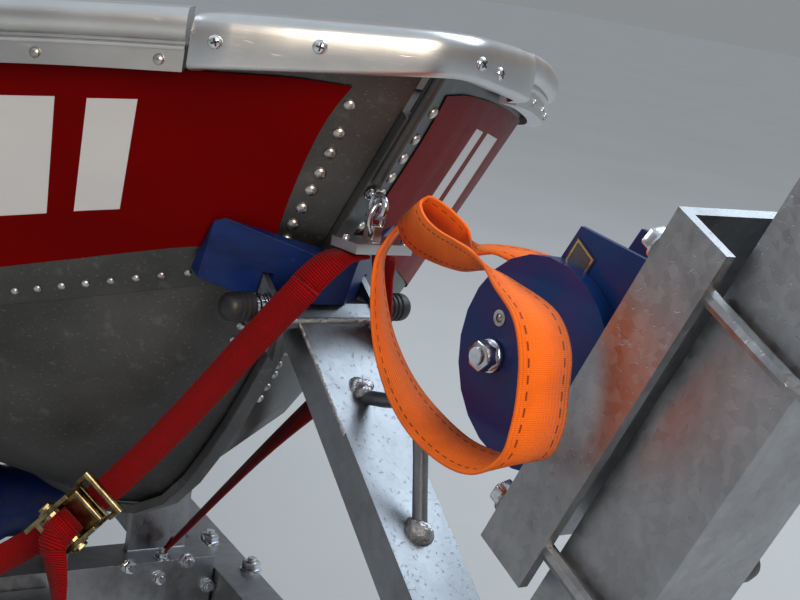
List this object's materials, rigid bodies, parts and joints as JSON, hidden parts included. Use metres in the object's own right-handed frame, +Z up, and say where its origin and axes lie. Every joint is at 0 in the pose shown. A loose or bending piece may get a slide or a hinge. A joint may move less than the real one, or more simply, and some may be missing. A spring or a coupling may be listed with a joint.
{
  "type": "inshore rescue boat on road trailer",
  "caption": "Open riveted aluminium rescue boat with a tiller outboard, strapped on its galvanised trailer with winch, bow stop, keel rollers and jockey wheel.",
  "frame": {"origin": "on the ground below the middle of the boat and trailer's overall length and width", "axes": "+X forward to the coupling and bow, +Y port, +Z up"},
  "size_m": [5.742, 1.6324, 1.49],
  "materials": {
    "hull_aluminium": "bare mill plate, scratched and dull",
    "polished_aluminium": "satin extrusion",
    "galvanised_steel": "hot dip galvanised, spangled",
    "zinc_plate": "bright zinc plate",
    "navy_plastic": "moulded polyurethane",
    "winch_paint": "gloss blue enamel",
    "orange_webbing": "woven polyester webbing",
    "red_webbing": "woven polyester webbing",
    "black_rubber": "ribbed rubber",
    "tyre_rubber": "road tyre",
    "black_plastic": "moulded plastic",
    "motor_paint": "satin grey enamel",
    "cast_metal": "cast",
    "propeller_aluminium": "painted casting",
    "timber": "varnished plywood",
    "lamp_plastic": "lamp lens"
  },
  "bodies": {
    "boat_and_trailer": {"hull_side_port": "hull_aluminium", "hull_side_starboard": "hull_aluminium", "hull_bottom": "hull_aluminium", "transom": "hull_aluminium", "gunwale_port": "polished_aluminium", "gunwale_starboard": "polished_aluminium", "bow_cap": "polished_aluminium", "keel_bar": "hull_aluminium", "floor": "hull_aluminium", "bow_seat": "hull_aluminium", "middle_thwart": "hull_aluminium", "aft_thwart": "hull_aluminium", "bow_eye": "zinc_plate", "link": "zinc_plate", "hook_plate": "galvanised_steel", "motor_pad": "timber", "motor_clamp": "motor_paint", "drawbar": "galvanised_steel", "rail_port": "galvanised_steel", "rail_starboard": "galvanised_steel", "cross_beam_front": "galvanised_steel", "cross_beam_middle": "galvanised_steel", "cross_beam_rear": "galvanised_steel", "bunk_port": "timber", "bunk_starboard": "timber", "axle": "galvanised_steel", "light_board": "lamp_plastic", "mudguard_port": "black_plastic", "mudguard_starboard": "black_plastic", "coupling": "zinc_plate", "jockey_clamp": "galvanised_steel", "jockey_tube": "galvanised_steel", "winch_post": "galvanised_steel", "winch_bracket": "galvanised_steel", "bow_arm": "galvanised_steel", "stop_bolt": "black_rubber", "bow_block": "navy_plastic", "winch_frame": "winch_paint", "winch_cover": "winch_paint", "winch_strap": "orange_webbing", "strap_starboard": "red_webbing", "strap_port": "red_webbing", "ratchet": "zinc_plate"},
    "wheel_port": {"tyre_port": "tyre_rubber", "rim_port": "zinc_plate"},
    "wheel_starboard": {"tyre_starboard": "tyre_rubber", "rim_starboard": "zinc_plate"},
    "roller_front": {"keel_roller_front": "navy_plastic"},
    "roller_middle": {"keel_roller_middle": "navy_plastic"},
    "roller_rear": {"keel_roller_rear": "navy_plastic"},
    "jockey_swivel": {"jockey_fork": "galvanised_steel"},
    "jockey_tyre": {"jockey_wheel": "black_rubber"},
    "drum": {"winch_drum": "orange_webbing"},
    "crank": {"winch_crank": "zinc_plate"},
    "motor_bracket": {"motor_swivel": "motor_paint"},
    "motor": {"motor_leg": "motor_paint", "motor_cowl": "motor_paint", "engine_block": "cast_metal"},
    "screw": {"propeller": "propeller_aluminium"},
    "tiller_arm": {"tiller": "black_plastic"}
  },
  "joints": [
    {"name": "wheel_port_spin", "type": "hinge", "parent": "boat_and_trailer", "child": "wheel_port", "pos_m": [-0.6855, 0.7, 0.25], "axis": [0, 1, 0], "continuous": true},
    {"name": "wheel_starboard_spin", "type": "hinge", "parent": "boat_and_trailer", "child": "wheel_starboard", "pos_m": [-0.6855, -0.7, 0.25], "axis": [0, 1, 0], "continuous": true},
    {"name": "roller_front_spin", "type": "hinge", "parent": "boat_and_trailer", "child": "roller_front", "pos_m": [1.2845, 0, 0.588], "axis": [0, 1, 0], "continuous": true},
    {"name": "roller_middle_spin", "type": "hinge", "parent": "boat_and_trailer", "child": "roller_middle", "pos_m": [-0.1255, 0, 0.588], "axis": [0, 1, 0], "continuous": true},
    {"name": "roller_rear_spin", "type": "hinge", "parent": "boat_and_trailer", "child": "roller_rear", "pos_m": [-1.9955, 0, 0.588], "axis": [0, 1, 0], "continuous": true},
    {"name": "jockey_swivel_turn", "type": "hinge", "parent": "boat_and_trailer", "child": "jockey_swivel", "pos_m": [2.4345, -0.082, 0.25], "axis": [0, 0, 1], "continuous": true},
    {"name": "jockey_wheel_spin", "type": "hinge", "parent": "jockey_swivel", "child": "jockey_tyre", "pos_m": [2.3795, -0.082, 0.1], "axis": [0, 1, 0], "continuous": true},
    {"name": "drum_turn", "type": "hinge", "parent": "boat_and_trailer", "child": "drum", "pos_m": [2.0555, 0, 0.96], "axis": [0, 1, 0], "continuous": true},
    {"name": "crank_turn", "type": "hinge", "parent": "boat_and_trailer", "child": "crank", "pos_m": [2.0175, 0, 0.955], "axis": [0, 1, 0], "continuous": true},
    {"name": "motor_tilt", "type": "hinge", "parent": "boat_and_trailer", "child": "motor_bracket", "pos_m": [-2.5035, 0, 1.022], "axis": [0, 1, 0], "range_deg": [0, 65]},
    {"name": "motor_steer", "type": "hinge", "parent": "motor_bracket", "child": "motor", "pos_m": [-2.5635, 0, 0.95], "axis": [0, 0, 1], "range_deg": [-40, 40]},
    {"name": "screw_spin", "type": "hinge", "parent": "motor", "child": "screw", "pos_m": [-2.8415, 0, 0.515], "axis": [1, 0, 0], "continuous": true},
    {"name": "tiller_lift", "type": "hinge", "parent": "motor", "child": "tiller_arm", "pos_m": [-2.5015, 0, 1.133], "axis": [0, -1, 0], "range_deg": [-90, 0]}
  ],
  "couplings": [
    {"joint": "crank_turn", "follows": "drum_turn", "ratio": -4}
  ]
}
